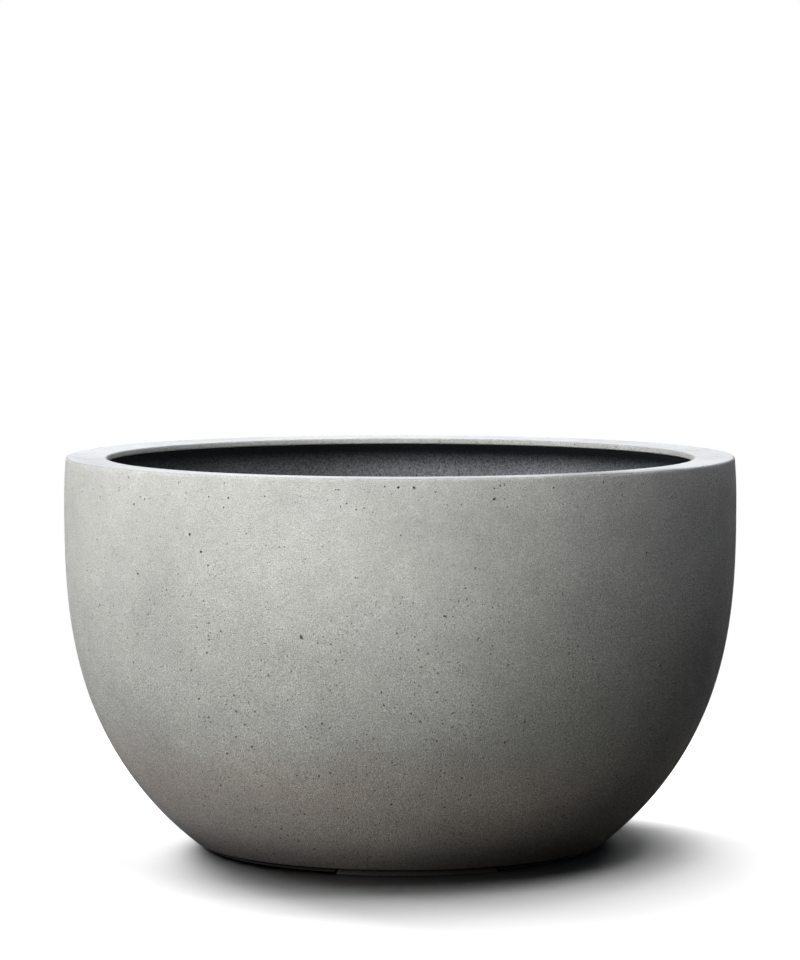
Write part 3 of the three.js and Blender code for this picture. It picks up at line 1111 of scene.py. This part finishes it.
plug = mesh_object("rubber_bung", plug_points + tab_points, plug_faces + tab_faces)
smooth(plug, 50)
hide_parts("drain_plug")
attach(plug, "plug")
print("plug mesh:", len(plug.data.polygons), "faces")

# %% [markdown]
# Used rubber isn't quite black. It is a deep grey with a trace of dust, and it shines a little in
# places, so its roughness changes slowly from spot to spot. A flat black would look like a hole.

# %% Mix the rubber
RUBBER = (0.022, 0.022, 0.024, 1)


def rubber(name):
    """Matt black rubber with a trace of dust on it."""
    material, tree, place = new_material(name)
    dust = noise(tree, place, 0.004, 0.7, 1.5, detail=4.0, roughness=0.6)
    tone = tinted(tree, RUBBER, dust)
    bump = add_node(tree, "ShaderNodeBump", {
        "Height": noise(tree, place, 0.0008, 0.0, 1.0), "Strength": 0.25, "Distance": 0.1 * MM})
    shader = add_node(tree, "ShaderNodeBsdfPrincipled", {
        "Base Color": tone, "Roughness": noise(tree, place, 0.01, 0.42, 0.62, seed=1.0),
        "Normal": bump.outputs["Normal"]})
    add_node(tree, "ShaderNodeOutputMaterial", {"Surface": shader.outputs["BSDF"]})
    return material


coat(plug, rubber("matt_rubber"))
print("rubber on", plug.name)

# %% [markdown]
# ## Floor
#
# The photograph stands on a white sweep that has burnt out to pure white, while the bowl's
# underside stays dark. A real floor can't do both, so this one is brighter for the camera than for
# the light that bounces off it. Away from the planter it fades into a glow of plain white, which
# hides where the floor ends. Near the planter it is an ordinary matt surface, so it keeps the
# shadow.

# %% Lay the floor
FLOOR_HALF = 12
FLOOR_GREY = (0.3, 0.3, 0.3, 1)
DARK_TO_BOUNCES = (0.002, 0.002, 0.002, 1)
WHITE = (1, 1, 1, 1)
FADE_START, FADE_END = 0.55, 1.1  # metres from the bowl's axis

floor_mesh = bpy.data.meshes.new("white_floor")
floor_mesh.from_pydata([(-FLOOR_HALF, -FLOOR_HALF, 0), (FLOOR_HALF, -FLOOR_HALF, 0),
                        (FLOOR_HALF, FLOOR_HALF, 0), (-FLOOR_HALF, FLOOR_HALF, 0)],
                       [], [(0, 1, 2, 3)])
floor = bpy.data.objects.new("white_floor", floor_mesh)
bpy.context.scene.collection.objects.link(floor)


def seen_directly(tree):
    """1 for what is seen, straight, in a mirror or through glass, and 0 for bounced light."""
    path = add_node(tree, "ShaderNodeLightPath")
    mirrored = add_node(tree, "ShaderNodeMath", {
        0: path.outputs["Is Camera Ray"], 1: path.outputs["Is Glossy Ray"]}, operation="MAXIMUM")
    either = add_node(tree, "ShaderNodeMath", {
        0: mirrored.outputs["Value"], 1: path.outputs["Is Transmission Ray"]}, operation="MAXIMUM")
    return either.outputs["Value"]


def white_floor(name):
    """Matt white near the planter, fading into plain white. Bounced light sees a dark floor."""
    material, tree, place = new_material(name)
    seen = seen_directly(tree)
    tone = add_node(tree, "ShaderNodeMix", {
        0: seen, 6: DARK_TO_BOUNCES, 7: WHITE}, data_type="RGBA").outputs[2]
    matt = add_node(tree, "ShaderNodeBsdfDiffuse", {"Color": tinted(tree, tone, FLOOR_GREY)})
    glow = add_node(tree, "ShaderNodeEmission", {"Color": tone, "Strength": 1.0})
    away = add_node(tree, "ShaderNodeVectorMath", {0: place}, operation="LENGTH").outputs["Value"]
    fade = between(tree, away, FADE_START, FADE_END)
    mixed = add_node(tree, "ShaderNodeMixShader", {
        0: fade, 1: matt.outputs["BSDF"], 2: glow.outputs["Emission"]})
    add_node(tree, "ShaderNodeOutputMaterial", {"Surface": mixed.outputs["Shader"]})
    return material


coat(floor, white_floor("floor_white"))
print("floor", 2 * FLOOR_HALF, "m wide, plain white beyond", FADE_END, "m")

# %% [markdown]
# ## Light
#
# The bowl is brightest at its upper left, fades slowly round the front and goes dark at the right
# and below. Four large soft lights stand at the front left. The high one and the one behind the
# bowl make the rim the brightest part, the low ones reach under the curve, and a weak one draws the
# left edge. The key and the front light are a little warm and the others plain or cool, so the pale
# side looks yellowish and the dark side neutral. Nothing comes from below.
#
# The shadow on the floor is tight and lies in front, so the floor is lit from behind and above. In
# a studio that is done with flags, which keep one lamp off the floor and another off the object.
# Here light linking does it: each lamp names the objects that receive its light. The floor's own
# lamps are strong and its grey is deep, so stray light from the bowl hardly shows in the shadow.

# %% Say what each lamp may light
kept_off_floor = bpy.data.collections.new("kept_off_floor")
kept_off_floor.objects.link(floor)
kept_off_floor.collection_objects[0].light_linking.link_state = "EXCLUDE"
floor_alone = bpy.data.collections.new("floor_alone")
floor_alone.objects.link(floor)
print("light groups:", kept_off_floor.name, "and", floor_alone.name)

# %% Write a helper for soft lights
AIM_HEIGHT = 0.2
LAMP_DISTANCE = 3.0


def soft_light(name, azimuth, elevation, size, watts, receivers, color):
    """A square area light aimed at the bowl. Azimuth is in degrees to the right of the front."""
    lamp = bpy.data.lights.new(name, "AREA")
    lamp.shape = "SQUARE"
    lamp.size = size
    lamp.energy = watts
    lamp.color = color
    made = bpy.data.objects.new(name, lamp)
    around, up = math.radians(azimuth), math.radians(elevation)
    away = Vector((*turned(math.cos(up), 0, around)[:2], math.sin(up)))
    made.location = Vector((0, 0, AIM_HEIGHT)) + away * LAMP_DISTANCE
    made.rotation_euler = away.to_track_quat("Z", "Y").to_euler()
    made.light_linking.receiver_collection = receivers
    bpy.context.scene.collection.objects.link(made)


# %% Hang the lights
SOFTBOX = 1.5
FLOOR_BOX = 1.2
WARM = (1.01, 1.0, 0.93)
COOL = (0.975, 1.0, 1.15)
FAINTLY_COOL = (1.0, 1.0, 1.05)
PLAIN = (1.0, 1.0, 1.0)

for name, azimuth, elevation, watts, color in (
        ("key_softbox", -50, 45, 57, WARM),
        ("front_softbox", -20, 20, 32.5, WARM),
        ("low_softbox", -50, 20, 18.5, COOL),
        ("high_softbox", -20, 70, 44, COOL),
        ("rear_softbox", 140, 70, 55, FAINTLY_COOL),
        ("left_strip", -115, 20, 17.5, PLAIN)):
    soft_light(name, azimuth, elevation, SOFTBOX, watts, kept_off_floor, color)
for name, azimuth, elevation, watts in (
        ("floor_rear_left", -140, 32, 460),
        ("floor_left", -115, 32, 70),
        ("floor_overhead", 0, 89, 63),
        ("floor_rear_top", 150, 70, 163),
        ("floor_right_top", 90, 70, 110),
        ("floor_front_top", 30, 70, 37),
        ("floor_rear_right", 120, 50, 40)):
    soft_light(name, azimuth, elevation, FLOOR_BOX, watts, floor_alone, PLAIN)

# %% [markdown]
# What is left is the light of the room itself: weak, cool and from everywhere over the floor, so
# that the dark side isn't black. The camera sees plain white in its place, as it does on the floor.

# %% Paint the room
ROOM_COLOR = (0.78, 0.87, 1.0, 1)
ROOM_STRENGTH = 0.042

world = bpy.data.worlds.new("white_room")
world.use_nodes = True
room = world.node_tree
room.nodes.clear()
fill = add_node(room, "ShaderNodeBackground", {"Color": ROOM_COLOR, "Strength": ROOM_STRENGTH})
white = add_node(room, "ShaderNodeBackground", {"Color": WHITE, "Strength": 1.0})
both = add_node(room, "ShaderNodeMixShader", {
    0: seen_directly(room), 1: fill.outputs["Background"], 2: white.outputs["Background"]})
add_node(room, "ShaderNodeOutputWorld", {"Surface": both.outputs["Shader"]})
bpy.context.scene.world = world
print("room light at strength", ROOM_STRENGTH)

# %% [markdown]
# ## Finish
#
# "Standard" shows the colours as they are worked out, without a film look.

# %% Finish
bpy.context.scene.view_settings.view_transform = "Standard"
bpy.context.view_layer.update()
